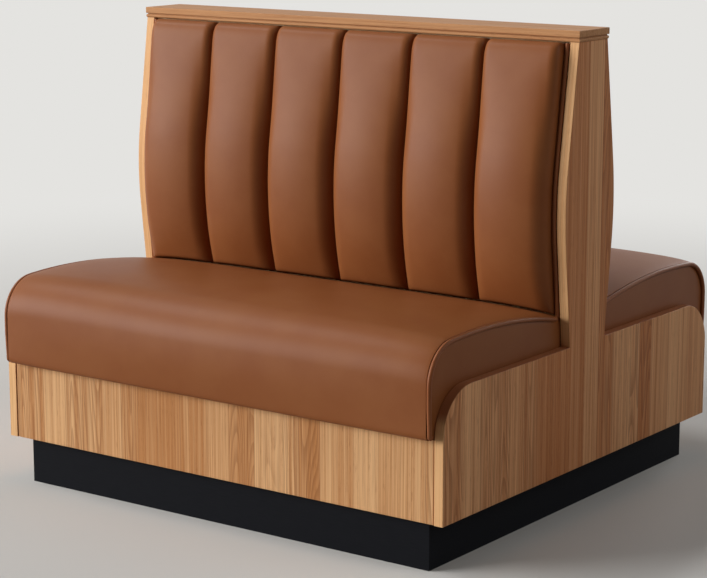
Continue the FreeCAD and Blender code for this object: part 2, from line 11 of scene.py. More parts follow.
import bmesh
import bpy
import numpy as np
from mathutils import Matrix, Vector


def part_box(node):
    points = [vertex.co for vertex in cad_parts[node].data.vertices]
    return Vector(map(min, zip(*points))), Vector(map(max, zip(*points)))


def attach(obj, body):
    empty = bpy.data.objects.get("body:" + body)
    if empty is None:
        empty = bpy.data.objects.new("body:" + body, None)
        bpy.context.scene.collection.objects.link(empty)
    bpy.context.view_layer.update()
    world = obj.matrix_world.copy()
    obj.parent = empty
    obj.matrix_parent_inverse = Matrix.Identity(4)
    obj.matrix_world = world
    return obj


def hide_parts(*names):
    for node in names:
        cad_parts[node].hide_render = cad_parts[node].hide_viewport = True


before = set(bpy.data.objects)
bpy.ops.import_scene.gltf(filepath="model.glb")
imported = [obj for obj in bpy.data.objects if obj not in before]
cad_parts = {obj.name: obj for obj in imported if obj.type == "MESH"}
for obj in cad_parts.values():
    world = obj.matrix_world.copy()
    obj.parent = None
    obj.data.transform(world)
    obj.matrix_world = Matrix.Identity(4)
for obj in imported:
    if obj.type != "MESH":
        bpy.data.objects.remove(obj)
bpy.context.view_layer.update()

# %% [markdown]
# ## Camera
# The bench was photographed from the right of its front seat and from a little above it. The places of its
# corners in the picture give the camera's direction, its distance and its lens. Nothing else in this script
# depends on them.

# %% Place the camera
image_width = 707
azimuth, tilt = math.radians(35.99), math.radians(11.40)
camera_distance = 5.124
focal_length_pixels = 2191.1
target = Vector((-0.0293, 0.0, 0.4274))

towards_camera = Vector((
    math.sin(azimuth) * math.cos(tilt),
    -math.cos(azimuth) * math.cos(tilt),
    math.sin(tilt),
))
camera_data = bpy.data.cameras.new("camera")
camera_data.sensor_width = 36.0
camera_data.lens = focal_length_pixels * camera_data.sensor_width / image_width
camera = bpy.data.objects.new("camera", camera_data)
camera.location = target + towards_camera * camera_distance
camera.rotation_mode = "QUATERNION"
camera.rotation_quaternion = (-towards_camera).to_track_quat("-Z", "Y")
bpy.context.scene.collection.objects.link(camera)
bpy.context.scene.camera = camera
print("lens:", round(camera_data.lens, 1), "mm")

# %% [markdown]
# ## Helpers for node trees
# Materials and geometry node trees are both made of nodes and links. One short function adds a node with its
# properties and its input values, so that each tree below reads as a list of steps. A value can be a number
# or the output of an earlier node.

# %% Add a node with its inputs
def add(tree, kind, inputs=None, **properties):
    """A new node. Its properties are set first, because they decide which inputs it has."""
    node = tree.nodes.new(kind)
    for name, value in properties.items():
        setattr(node, name, value)
    for name, value in (inputs or {}).items():
        socket = node.inputs[name]
        if isinstance(value, bpy.types.NodeSocket):
            tree.links.new(value, socket)
        else:
            socket.default_value = value
    return node


print("helper:", add.__name__)


# %% Short forms of the nodes that come up most
def maths(tree, operation, first, second=0.0, third=0.0):
    """Output of one Math node."""
    return add(tree, "ShaderNodeMath", {0: first, 1: second, 2: third}, operation=operation).outputs[0]


def blend_colours(tree, share, first, second):
    """Output of one colour Mix node: share 0 is the first colour, 1 the second."""
    values = {"Factor": share, 6: first, 7: second}
    return add(tree, "ShaderNodeMix", values, data_type="RGBA", blend_type="MIX").outputs[2]


def ramped(tree, value, low, high, to_low=0.0, to_high=1.0):
    """A value carried smoothly from one range to another, and held at its ends."""
    node = add(
        tree, "ShaderNodeMapRange",
        {"Value": value, "From Min": low, "From Max": high, "To Min": to_low, "To Max": to_high},
        interpolation_type="SMOOTHSTEP",
    )
    return node.outputs["Result"]


def noise(tree, vector, scale, detail=2.0, roughness=0.5, distortion=0.0):
    """Output of one Noise Texture node."""
    values = {
        "Vector": vector, "Scale": scale, "Detail": detail, "Roughness": roughness, "Distortion": distortion,
    }
    return add(tree, "ShaderNodeTexNoise", values).outputs["Fac"]


noise_low, noise_high = 0.3, 0.7
print("most of a noise lies between", noise_low, "and", noise_high)


# %% Start a node group, a material or a colour
def new_group(name, inputs, outputs, tree_type="ShaderNodeTree"):
    """An empty node group with named sockets: inputs are (name, type, default), outputs (name, type)."""
    group = bpy.data.node_groups.new(name, tree_type)
    for label, kind, default in inputs:
        socket = group.interface.new_socket(label, in_out="INPUT", socket_type=kind)
        if default is not None:
            socket.default_value = default
    for label, kind in outputs:
        group.interface.new_socket(label, in_out="OUTPUT", socket_type=kind)
    return group, group.nodes.new("NodeGroupInput").outputs, group.nodes.new("NodeGroupOutput")


def new_material(name, specular=0.5):
    """A material, its tree, its Principled shader, and the object's own coordinates to place patterns by."""
    material = bpy.data.materials.new(name)
    material.use_nodes = True
    tree = material.node_tree
    shader = tree.nodes["Principled BSDF"]
    shader.inputs["Specular IOR Level"].default_value = specular
    return material, tree, shader, tree.nodes.new("ShaderNodeTexCoord").outputs["Object"]


def linear(hex_colour):
    """A colour written as a hex string, in the linear values that nodes use."""
    parts = [int(hex_colour[n:n + 2], 16) / 255 for n in (0, 2, 4)]
    return [c / 12.92 if c <= 0.04045 else ((c + 0.055) / 1.055) ** 2.4 for c in parts] + [1.0]


print("middle grey is", round(linear("808080")[0], 3), "in linear values")

# %% [markdown]
# ## Leather
# The covers are smooth tan leather with a low sheen. Close up, leather has a pebble grain about a millimetre
# wide, and from further off its tone wanders a little. The grain could be painted as a picture, but a
# procedural one has no seams and holds at any size. The group gives the grain's height and two slow tones,
# and each leather material places it with its own values.

# %% Shader group: leather grain
wander_scale, wander_reach = 120.0, 0.0015
pore_scale, pore_relief = 2400.0, 0.25
mottle_scale, handling_scale = 9.0, 2.2

leather_grain, given, result = new_group(
    "leather grain",
    [("Vector", "NodeSocketVector", None), ("Pebbles", "NodeSocketFloat", 850.0)],
    [("Height", "NodeSocketFloat"), ("Mottle", "NodeSocketFloat"), ("Handling", "NodeSocketFloat")],
)
wander = noise(leather_grain, given["Vector"], wander_scale, 2.0)
shift = add(leather_grain, "ShaderNodeVectorMath", {0: wander, "Scale": wander_reach}, operation="SCALE")
bent = add(
    leather_grain, "ShaderNodeVectorMath", {0: given["Vector"], 1: shift.outputs[0]}, operation="ADD"
).outputs[0]
pebble = add(
    leather_grain, "ShaderNodeTexVoronoi",
    {"Vector": bent, "Scale": given["Pebbles"], "Randomness": 0.9},
    feature="F1", distance="EUCLIDEAN",
).outputs["Distance"]
domed = maths(leather_grain, "SUBTRACT", 1.0, pebble)
pores = noise(leather_grain, given["Vector"], pore_scale, 1.0)
height = maths(leather_grain, "MULTIPLY_ADD", pores, pore_relief, domed)
leather_grain.links.new(height, result.inputs["Height"])
mottle = noise(leather_grain, given["Vector"], mottle_scale, 4.0, 0.6)
leather_grain.links.new(mottle, result.inputs["Mottle"])
handling = noise(leather_grain, given["Vector"], handling_scale, 2.0, 0.5)
leather_grain.links.new(handling, result.inputs["Handling"])
print("group:", leather_grain.name)

# %% Materials: cover leather and piping leather
sheen_change = 0.015


def leather_material(name, light, dark, roughness):
    """Leather whose tone mottles between two colours, and whose sheen changes a little with handling."""
    material, tree, shader, place = new_material(name, specular=0.15)
    grain = add(tree, "ShaderNodeGroup", {"Vector": place}, node_tree=leather_grain).outputs
    tone = ramped(tree, grain["Mottle"], noise_low, noise_high)
    tree.links.new(blend_colours(tree, tone, linear(dark), linear(light)), shader.inputs["Base Color"])
    sheen = ramped(
        tree, grain["Handling"], noise_low, noise_high, roughness - sheen_change, roughness + sheen_change
    )
    tree.links.new(sheen, shader.inputs["Roughness"])
    bump = add(tree, "ShaderNodeBump", {"Height": grain["Height"], "Strength": 0.12, "Distance": 0.0004})
    tree.links.new(bump.outputs["Normal"], shader.inputs["Normal"])
    return material


cover_leather = leather_material("tan_leather", "8A522C", "854C27", 0.45)
piping_leather = leather_material("piping_leather", "915734", "8A4F2C", 0.38)
print("materials:", cover_leather.name, piping_leather.name)

# %% [markdown]
# ## Oak veneer
# The panels, fascias and cap are faced with oak veneer, which is laid in strips about six centimetres wide
# on the panels and fascias. Each strip has its own tone and figure: growth rings cut as long pointed arches,
# straight fibres, and fine dark pores. The rings are the contour lines of a noise that is stretched along
# the grain, and a cell pattern in one dimension gives each strip its own piece of it. Every pattern has one
# scale across the grain and a much smaller one along it.

# %% Shader group: oak figure, its strips
piece_reach, shift_reach = 40.0, 3.7

oak_figure, given, result = new_group(
    "oak figure",
    [
        ("Across", "NodeSocketFloat", 0.0), ("Layer", "NodeSocketFloat", 0.0),
        ("Along", "NodeSocketFloat", 0.0), ("Strip Width", "NodeSocketFloat", 0.07),
        ("Arches", "NodeSocketFloat", 1.0), ("Light", "NodeSocketColor", linear("D8AA78")),
        ("Middle", "NodeSocketColor", linear("BE8756")), ("Dark", "NodeSocketColor", linear("87502B")),
    ],
    [("Color", "NodeSocketColor"), ("Height", "NodeSocketFloat"), ("Sheen", "NodeSocketFloat")],
)
strip_place = maths(oak_figure, "DIVIDE", given["Across"], given["Strip Width"])
cells = {"W": strip_place, "Scale": 1.0, "Randomness": 0.8}
strip = add(oak_figure, "ShaderNodeTexVoronoi", cells, voronoi_dimensions="1D", feature="F1")
joint = add(oak_figure, "ShaderNodeTexVoronoi", cells, voronoi_dimensions="1D", feature="DISTANCE_TO_EDGE")
tone_draw, shift_draw, piece_draw = add(
    oak_figure, "ShaderNodeSeparateColor", {"Color": strip.outputs["Color"]}
).outputs
own_piece = maths(oak_figure, "MULTIPLY", piece_draw, piece_reach)
own_along = maths(oak_figure, "MULTIPLY_ADD", shift_draw, shift_reach, given["Along"])
print("group:", oak_figure.name, "draws for each strip: tone, shift, piece")


# %% Shader group: oak figure, its patterns
def wood_noise(across_scale, along_scale, detail, roughness=0.5):
    """Noise that is drawn out along the grain, with a piece of its own for each strip."""
    vector = add(oak_figure, "ShaderNodeCombineXYZ", {
        "X": maths(oak_figure, "MULTIPLY", given["Across"], across_scale),
        "Y": maths(oak_figure, "MULTIPLY_ADD", given["Layer"], across_scale, own_piece),
        "Z": maths(oak_figure, "MULTIPLY", own_along, along_scale),
    }).outputs["Vector"]
    return noise(oak_figure, vector, 1.0, detail, roughness)


rings_in_growth = 27.0
ring_rise, ring_end = (0.2, 0.88), (1.0, 0.9)
arched_draws, pore_row_range, pore_range = (0.50, 0.66), (0.42, 0.62), (0.60, 0.70)

growth = wood_noise(15.0, 1.1, 1.0, 0.35)
bands = wood_noise(95.0, 0.9, 3.0, 0.62)
streaks = wood_noise(260.0, 1.3, 2.0, 0.6)
fibres = wood_noise(420.0, 6.0, 2.0, 0.6)
pores = wood_noise(950.0, 42.0, 1.0)
ring_phase = maths(oak_figure, "FRACT", maths(oak_figure, "MULTIPLY", growth, rings_in_growth))
late_wood = maths(
    oak_figure, "MULTIPLY",
    ramped(oak_figure, ring_phase, *ring_rise), ramped(oak_figure, ring_phase, *ring_end),
)
arched_strip = maths(oak_figure, "MULTIPLY", ramped(oak_figure, shift_draw, *arched_draws), given["Arches"])
ring_mask = maths(oak_figure, "MULTIPLY", late_wood, arched_strip)
pore_rows = ramped(oak_figure, bands, *pore_row_range)
pore_mask = maths(oak_figure, "MULTIPLY", ramped(oak_figure, pores, *pore_range), pore_rows)
print("patterns: rings, bands, streaks, fibres, pores")

# %% Shader group: oak figure, its colour, relief and sheen
tone_by_draw, tone_by_bands, tone_by_streaks = 0.55, -1.1, -0.9
tone_range, fibre_range = (-1.15, -0.25), (0.40, 0.78)
ring_share, fibre_share, pore_share, seam_share = 0.40, 0.34, 0.45, 0.5
seam_reach = 0.0009
fibre_relief, sheen_by_bands, sheen_base = 0.5, 0.12, 0.42

strip_tone = maths(oak_figure, "MULTIPLY", tone_draw, tone_by_draw)
strip_tone = maths(oak_figure, "MULTIPLY_ADD", bands, tone_by_bands, strip_tone)
strip_tone = maths(oak_figure, "MULTIPLY_ADD", streaks, tone_by_streaks, strip_tone)
strip_tone = ramped(oak_figure, strip_tone, *tone_range)
seam_place = maths(oak_figure, "MULTIPLY", joint.outputs["Distance"], given["Strip Width"])
colour = blend_colours(oak_figure, strip_tone, given["Middle"], given["Light"])
for share in (
    maths(oak_figure, "MULTIPLY", ring_mask, ring_share),
    ramped(oak_figure, fibres, *fibre_range, 0.0, fibre_share),
    maths(oak_figure, "MULTIPLY", pore_mask, pore_share),
    ramped(oak_figure, seam_place, seam_reach, 0.0, 0.0, seam_share),
):
    colour = blend_colours(oak_figure, share, colour, given["Dark"])
oak_figure.links.new(colour, result.inputs["Color"])
relief = maths(oak_figure, "SUBTRACT", maths(oak_figure, "MULTIPLY", fibres, fibre_relief), pore_mask)
oak_figure.links.new(relief, result.inputs["Height"])
sheen = maths(oak_figure, "MULTIPLY_ADD", bands, sheen_by_bands, sheen_base)
oak_figure.links.new(sheen, result.inputs["Sheen"])
print("dark over the ground: rings, fibres, pores, seams")

# %% [markdown]
# ## Oak materials
# The grain runs upwards on the panels and fascias and along the cap, so the same figure is laid along three
# different axes. The narrow edges of the panels are lipped with strips of lighter oak whose grain follows
# the edge round its curve. Where such an edge faces up it is blended to a darker tone, which is painted shade
# for the cushions' shadow on it.

# %% Materials: oak with its grain in three directions
edge_layer, edge_strip_width = 0.37, 10.0
# The first range sets how far a narrow face must turn up before it takes the painted shade of the cushion's
# shadow.
painted_shade_turn, narrow_turn = (0.25, 0.55), (0.75, 0.65)


def oak_material(name, axes, strip_width, tones, arches=1.0, edging=None, painted_shade_on_top=None):
    """Oak whose grain runs along the last of three axes. Edging gives the narrow faces tones of their own,
    and painted shade where they face up.
    """
    material, tree, shader, place = new_material(name, specular=0.09)
    parts = add(tree, "ShaderNodeSeparateXYZ", {"Vector": place}).outputs
    across, layer, along = (parts["XYZ".index(axis)] for axis in axes)

    def veneer(tones, places):
        """Colour, height and sheen of the oak figure with its own tones and places."""
        values = places | {label: linear(tone) for label, tone in zip(("Light", "Middle", "Dark"), tones)}
        figure = add(tree, "ShaderNodeGroup", values, node_tree=oak_figure).outputs
        return figure["Color"], figure["Height"], figure["Sheen"]

    colour, height, sheen = veneer(tones, {
        "Across": across, "Layer": layer, "Along": along, "Strip Width": strip_width, "Arches": arches,
    })
    if edging:
        facing = tree.nodes.new("ShaderNodeTexCoord").outputs["Normal"]
        turn = add(tree, "ShaderNodeSeparateXYZ", {"Vector": facing}).outputs
        level_run = maths(tree, "MULTIPLY", parts[1], turn[2])
        upward_run = maths(tree, "MULTIPLY", parts[2], turn[1])
        band = veneer(edging, {
            "Across": parts[0], "Layer": edge_layer, "Along": maths(tree, "SUBTRACT", level_run, upward_run),
            "Strip Width": edge_strip_width, "Arches": 0.0,
        })[0]
        # Painted shade: up-facing narrow edges are blended to a darker tone, which stands in for the
        # cushion's shadow on them.
        band = blend_colours(tree, ramped(tree, turn[2], *painted_shade_turn), band, linear(painted_shade_on_top))
        narrow = ramped(tree, maths(tree, "ABSOLUTE", turn[0]), *narrow_turn)
        colour = blend_colours(tree, narrow, colour, band)
    tree.links.new(colour, shader.inputs["Base Color"])
    tree.links.new(sheen, shader.inputs["Roughness"])
    bump = add(tree, "ShaderNodeBump", {"Height": height, "Strength": 0.3, "Distance": 0.0002})
    tree.links.new(bump.outputs["Normal"], shader.inputs["Normal"])
    return material


# The last tone given to the panel oak is painted shade for the up-facing tops of its narrow edges.
panel_oak = oak_material(
    "panel_oak", "YXZ", 0.062, ("F2BA88", "C47E4E", "7C4222"),
    edging=("EBBC88", "E2AA74", "A0683A"), painted_shade_on_top="A46844",
)
fascia_oak = oak_material("fascia_oak", "XYZ", 0.062, ("E3B482", "BA7F4D", "7E4824"))
cap_oak = oak_material("cap_oak", "ZYX", 0.5, ("C69264", "AE7347", "7B4322"), arches=0.0)
print("materials:", panel_oak.name, fascia_oak.name, cap_oak.name)

# %% [markdown]
# ## Plinth laminate and the materials inside
# The plinth is faced with matt charcoal laminate. The ribs, boards, rails and fasteners inside the bench are
# birch plywood, softwood, foam and zinc-plated steel. Little of them is ever seen, so one rule serves them
# all: two close tones in soft streaks along one axis.

# %% Materials: laminate, plywood, softwood, steel and foam
streak_stretch = 25
sheen_spread = 0.05


def plain_board(name, light, dark, roughness, across_scale, along_axis, specular=0.5):
    """A plain finish of two close tones, in soft streaks along one axis."""
    material, tree, shader, place = new_material(name, specular)
    scale = [across_scale] * 3
    scale["XYZ".index(along_axis)] = across_scale / streak_stretch
    mapped = add(tree, "ShaderNodeMapping", {"Vector": place, "Scale": scale}).outputs["Vector"]
    streaks = noise(tree, mapped, 1.0, 4.0, 0.55, 0.4)
    tone = ramped(tree, streaks, noise_low, noise_high)
    tree.links.new(blend_colours(tree, tone, linear(dark), linear(light)), shader.inputs["Base Color"])
    sheen = ramped(tree, streaks, noise_low, noise_high, roughness + sheen_spread, roughness - sheen_spread)
    tree.links.new(sheen, shader.inputs["Roughness"])
    bump = add(tree, "ShaderNodeBump", {"Height": streaks, "Strength": 0.2, "Distance": 0.0003})
    tree.links.new(bump.outputs["Normal"], shader.inputs["Normal"])
    return material


charcoal_laminate = plain_board("charcoal_laminate", "16171B", "121317", 0.6, 700.0, "X", specular=0.05)
birch_plywood = plain_board("birch_plywood", "D9BE93", "C6A575", 0.6, 160.0, "X")
softwood = plain_board("softwood", "DDBE8A", "BF9660", 0.65, 120.0, "X")
zinc_steel = plain_board("zinc_steel", "B9B9B4", "A3A39E", 0.35, 500.0, "Z")
zinc_steel.node_tree.nodes["Principled BSDF"].inputs["Metallic"].default_value = 1.0
upholstery_foam = plain_board("upholstery_foam", "E4DFC9", "D6CFB4", 0.9, 900.0, "Y")
print("materials:", charcoal_laminate.name, birch_plywood.name, softwood.name, zinc_steel.name,
      upholstery_foam.name)

# %% [markdown]
# ## Finish of the CAD nodes
# Each node of the CAD model is one board, panel or group of fasteners, and its name says what it is. So the
# name picks its material. The nodes of the soft pieces get leather or foam, although the pieces made below
# take their place.

# %% Give the CAD nodes their finish
def finish_of(node):
    """Material of a CAD node, by its name."""
    if node.startswith("plinth"):
        return charcoal_laminate
    if node.startswith("end_panel_") and "bolts" not in node:
        return panel_oak
    if node.endswith("fascia"):
        return fascia_oak
    if node.startswith("cap_b"):
        return cap_oak
    if "screw" in node or "bolt" in node or "bracket" in node:
        return zinc_steel
    if "pad" in node or "foam" in node:
        return upholstery_foam
    if node.startswith(("rib", "base", "back_board", "seat_board", "seat_apron")):
        return birch_plywood
    if node.startswith(("seat_rail", "seat_cleats", "top_rail", "mid_rail")):
        return softwood
    return cover_leather


for node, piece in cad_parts.items():
    piece.data.materials.clear()
    piece.data.materials.append(finish_of(node))
print("nodes finished:", len(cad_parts))

# %% [markdown]
# ## The back's curve
# Both ends and the whole back follow one line, seen from the side: it leans out from the seat, swells at
# shoulder height and draws in again under the cap. Two straight tapers and the arc between them give it. The
# channels and the piping are laid along the same line, so it is written once, as a function of the way up.

# %% Sizes of the back
upright_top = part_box("end_panel_right")[1].z
upright_foot_half, upright_top_half = 0.0743, 0.060
upright_foot_height, upright_peak_height, upright_peak_half = 0.385, 0.689, 0.1082
blend_radius = 0.750

lower_lean = math.atan2(upright_peak_half - upright_foot_half, upright_peak_height - upright_foot_height)
upper_lean = math.atan2(upright_peak_half - upright_top_half, upright_top - upright_peak_height)
half_turn = (lower_lean + upper_lean) / 2
centre_reach = blend_radius / math.cos(half_turn)
centre_tilt = (upper_lean - lower_lean) / 2
blend_depth = upright_peak_half - centre_reach * math.cos(centre_tilt)
blend_height = upright_peak_height - centre_reach * math.sin(centre_tilt)
print("leans:", round(math.degrees(lower_lean), 2), round(math.degrees(upper_lean), 2), "degrees")

# %% Points on the back's line
climb_range = -0.6, 0.8
halvings = 40


def back_line(climb, offset):
    """Depth and height on the back's line, a climb above the blend's lower end and an offset out from it."""
    arc_length = blend_radius * (lower_lean + upper_lean)
    lean = -lower_lean + (lower_lean + upper_lean) * np.clip(climb / arc_length, 0, 1)
    radius = blend_radius + offset
    depth = blend_depth + radius * np.cos(lean)
    height = blend_height + radius * np.sin(lean)
    rest = climb - np.clip(climb, 0, arc_length)
    return depth - rest * np.sin(lean), height + rest * np.cos(lean)


def climb_at(height, offset):
    """The climb at which a point of the line, moved out by an offset, reaches a height."""
    low, high = (np.full(np.shape(height), end) for end in climb_range)
    for _ in range(halvings):
        middle = (low + high) / 2
        above = back_line(middle, offset)[1] > height
        high = np.where(above, middle, high)
        low = np.where(above, low, middle)
    return (low + high) / 2


print("climb at the peak:", round(float(climb_at(upright_peak_height, 0.0)), 4))

# %% [markdown]
# ## Seat cushions
# Each seat is a board with foam on it and in front of it, under one cover. Its top is crowned, its front
# rolls over a large radius, and its ends draw in to the piping. A form with the right sections is built first
# as a closed block of quads. Then a cloth simulation with a little pressure inside fills it, as foam fills a
# cover, while its seams are held. The rear cushion is the front one, turned half round.

# %% A closed block of quads from a rule for its points
def closed_block(name, counts, place):
    """Surface of a box of cells. Place gives the points for three arrays of shares from 0 to 1."""
    grid = np.stack(np.meshgrid(*[np.arange(n + 1) for n in counts], indexing="ij"), axis=-1)
    on_surface = np.any((grid == 0) | (grid == np.array(counts)), axis=-1)
    number = np.full(on_surface.shape, -1)
    number[on_surface] = np.arange(on_surface.sum())
    shares = grid[on_surface] / np.array(counts)
    points = place(shares[:, 0], shares[:, 1], shares[:, 2])
    faces = []
    for axis in range(3):
        for side in (0, counts[axis]):
            layer = np.take(number, side, axis=axis)
            quads = np.stack([layer[:-1, :-1], layer[1:, :-1], layer[1:, 1:], layer[:-1, 1:]], axis=-1)
            faces += quads.reshape(-1, 4).tolist()
    mesh = bpy.data.meshes.new(name)
    mesh.from_pydata(points.tolist(), [], faces)
    outwards = bmesh.new()
    outwards.from_mesh(mesh)
    bmesh.ops.recalc_face_normals(outwards, faces=outwards.faces)
    outwards.to_mesh(mesh)
    outwards.free()
    piece = bpy.data.objects.new(name, mesh)
    bpy.context.scene.collection.objects.link(piece)
    return piece, shares


print("helper:", closed_block.__name__)


# %% Read, write and even out a mesh's points
def coordinates(mesh):
    """The mesh's points, one row each."""
    values = np.empty(len(mesh.vertices) * 3, np.float32)
    mesh.vertices.foreach_get("co", values)
    return values.reshape(-1, 3).astype(float)


def set_coordinates(mesh, points):
    """Write the points back."""
    mesh.vertices.foreach_set("co", np.asarray(points, np.float32).ravel())
    mesh.update()


own_share, neighbour_share = 0.4, 0.6


def evened(mesh, moved, held, rounds):
    """The points' movement, averaged with their neighbours' so that the cover stays taut and unwrinkled."""
    ends = np.empty(len(mesh.edges) * 2, np.int32)
    mesh.edges.foreach_get("vertices", ends)
    one, two = ends.reshape(-1, 2).T
    count = np.bincount(ends, minlength=len(moved))[:, None]
    free = (1 - np.asarray(held))[:, None]
    for _ in range(rounds):
        total = np.zeros_like(moved)
        for axis in range(3):
            from_two = np.bincount(one, moved[two, axis], len(moved))
            from_one = np.bincount(two, moved[one, axis], len(moved))
            total[:, axis] = from_two + from_one
        moved = (moved * own_share + total / count * neighbour_share) * free
    return moved


print("helpers:", coordinates.__name__, set_coordinates.__name__, evened.__name__)

# %% Fill a cover by a cloth simulation
cloth_steps, cloth_quality = 20, 8
cloth_mass, cloth_stretch_stiffness, cloth_bending_stiffness = 0.4, 15.0, 2.0


def fill_with_pressure(piece, held, pressure, most, evening):
    """Simulate a copy of the mesh, and move the piece's points as far as its points went.

    Held is each point's hold from 0 to 1, evening is the number of rounds that average the movement, and
    most is its longest way."""
    copy = bpy.data.objects.new(piece.name + "_cloth", piece.data.copy())
    bpy.context.scene.collection.objects.link(copy)
    hold = copy.vertex_groups.new(name="hold")
    for index, weight in enumerate(held):
        if weight > 0:
            hold.add([index], float(weight), "REPLACE")
    cloth = copy.modifiers.new("cloth", "CLOTH")
    settings = cloth.settings
    settings.quality = cloth_quality
    settings.mass = cloth_mass
    settings.tension_stiffness = cloth_stretch_stiffness
    settings.compression_stiffness = cloth_stretch_stiffness
    settings.shear_stiffness = cloth_stretch_stiffness
    settings.bending_stiffness = cloth_bending_stiffness
    settings.use_pressure = True
    settings.uniform_pressure_force = pressure
    settings.vertex_group_mass = "hold"
    settings.effector_weights.gravity = 0.0
    cloth.collision_settings.use_collision = False
    cloth.collision_settings.use_self_collision = False
    for number in range(1, cloth_steps + 1):
        bpy.context.scene.frame_set(number)
    seen = copy.evaluated_get(bpy.context.evaluated_depsgraph_get())
    start, after = coordinates(piece.data), coordinates(seen.data)
    moved = evened(piece.data, after - start, held, evening)
    length = np.linalg.norm(moved, axis=1, keepdims=True)
    moved *= np.minimum(1.0, most / np.maximum(length, 1e-9))
    set_coordinates(piece.data, start + moved)
    print(piece.name, "filled by up to", round(float(min(length.max(), most)) * 1000, 1), "mm")
    bpy.data.objects.remove(copy)
    bpy.context.scene.frame_set(1)


print("helper:", fill_with_pressure.__name__)


# %% Finish a soft piece and turn it half round
def smooth_finish(piece, material, levels=1):
    """Shade the piece smooth, give it its material and round it by subdivision."""
    piece.data.shade_smooth()
    piece.data.materials.append(material)
    if levels:
        subdivision = piece.modifiers.new("subdivision", "SUBSURF")
        subdivision.levels = subdivision.render_levels = levels
    return piece


def turned_copy(piece, name):
    """The same piece on the other side of the bench, with its place in its mesh."""
    mesh = piece.data.copy()
    points = coordinates(mesh)
    set_coordinates(mesh, points * (-1, -1, 1))
    copy = piece.copy()
    copy.name = name
    copy.data = mesh
    bpy.context.scene.collection.objects.link(copy)
    return copy


print("helpers:", smooth_finish.__name__, turned_copy.__name__)

# %% Sizes of a cushion
cover_low, cover_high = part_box("seat_cover_front")
cushion_half = cover_high.x
cushion_foot = cover_low.z
cushion_rear = -cover_high.y
nose_swell, crown_rise = 0.0035, 0.014
fill_room, crown_fill = 0.004, 0.012
nose_depth = -cover_low.y - nose_swell - fill_room
seat_peak = cover_high.z - crown_rise + crown_fill
seat_peak_depth = 0.400
crown_radius, roll_radius, tuck_radius = 1.480, 0.086, 0.008
crown_squareness = 5
print("crown's peak at", round(seat_peak + crown_rise, 4), "nose at", round(nose_depth + nose_swell, 4))


# %% Side view of a cushion's cover
def crown_share(place):
    """How much of the crown is there at a place along the cushion, from 1 at its middle to 0 at its ends."""
    return np.sqrt(np.clip(1 - np.abs(place) ** crown_squareness, 0, 1))


def seat_circles(share):
    """Centre depth, centre height and radius of the crown, and of the front roll."""
    front = nose_depth + nose_swell * share
    crown_height = seat_peak + crown_rise * share - crown_radius
    roll_depth = front - roll_radius
    apart = crown_radius - roll_radius
    roll_height = crown_height + np.sqrt(apart ** 2 - (roll_depth - seat_peak_depth) ** 2)
    return (seat_peak_depth, crown_height, crown_radius), (roll_depth, roll_height, roll_radius)


def seat_top(depth, share):
    """Height of the cushion's crown at a depth."""
    centre_depth, centre_height, radius = seat_circles(share)[0]
    return centre_height + np.sqrt(radius ** 2 - (depth - centre_depth) ** 2)


def outer_line(way, share):
    """Depth and height on the cover's outer line: way 0 is the nose's foot, 1 the rear edge.

    It is made of a small tuck under the nose, the upright nose, the front roll and the crown."""
    crown, roll = seat_circles(share)
    front = roll[0] + roll[2]
    turn = np.arctan2(roll[1] - crown[1], roll[0] - crown[0])
    rear_turn = np.arctan2(seat_top(cushion_rear, share) - crown[1], cushion_rear - crown[0])
    lengths = np.stack([
        tuck_radius * math.pi / 2 + 0 * share,
        roll[1] - cushion_foot - tuck_radius,
        roll_radius * turn,
        crown_radius * (rear_turn - turn),
    ])
    ends = np.cumsum(lengths, axis=0)
    run = way * ends[-1]
    tuck_turn = np.clip(run / tuck_radius, 0, math.pi / 2)
    depth = front - tuck_radius + tuck_radius * np.sin(tuck_turn)
    height = cushion_foot + tuck_radius - tuck_radius * np.cos(tuck_turn)
    height = height + np.clip(run - ends[0], 0, lengths[1])
    angle = np.clip(run - ends[1], 0, lengths[2]) / roll_radius
    past = run > ends[1]
    depth = np.where(past, roll[0] + roll_radius * np.cos(angle), depth)
    height = np.where(past, roll[1] + roll_radius * np.sin(angle), height)
    angle = turn + np.clip(run - ends[2], 0, lengths[3]) / crown_radius
    past = run > ends[2]
    depth = np.where(past, crown[0] + crown_radius * np.cos(angle), depth)
    height = np.where(past, crown[1] + crown_radius * np.sin(angle), height)
    return depth, height


print("crown over the seat's middle:", round(float(seat_top(seat_peak_depth, 1.0)), 4))

# %% Rule for a cushion's points
board_low, board_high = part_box("seat_board_front")
apron_low, apron_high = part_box("seat_apron_front")
wrap_margin, cover_turn_in = 0.0001, 0.020
wrap_half = board_high.x + wrap_margin
inner_bend = 0.24
end_crowding, depth_crowding = 0.94, 2.2
seam_pull, seam_width = 0.0035, 0.006


def inner_line(way, face, top):
    """Depth and height round a corner: up a face from under the nose, then along a top to the rear edge."""
    climb = np.clip(way / inner_bend, 0, 1)
    back = np.clip((way - inner_bend) / (1 - inner_bend), 0, 1)
    return face + (cushion_rear - face) * back, cushion_foot + (top - cushion_foot) * climb


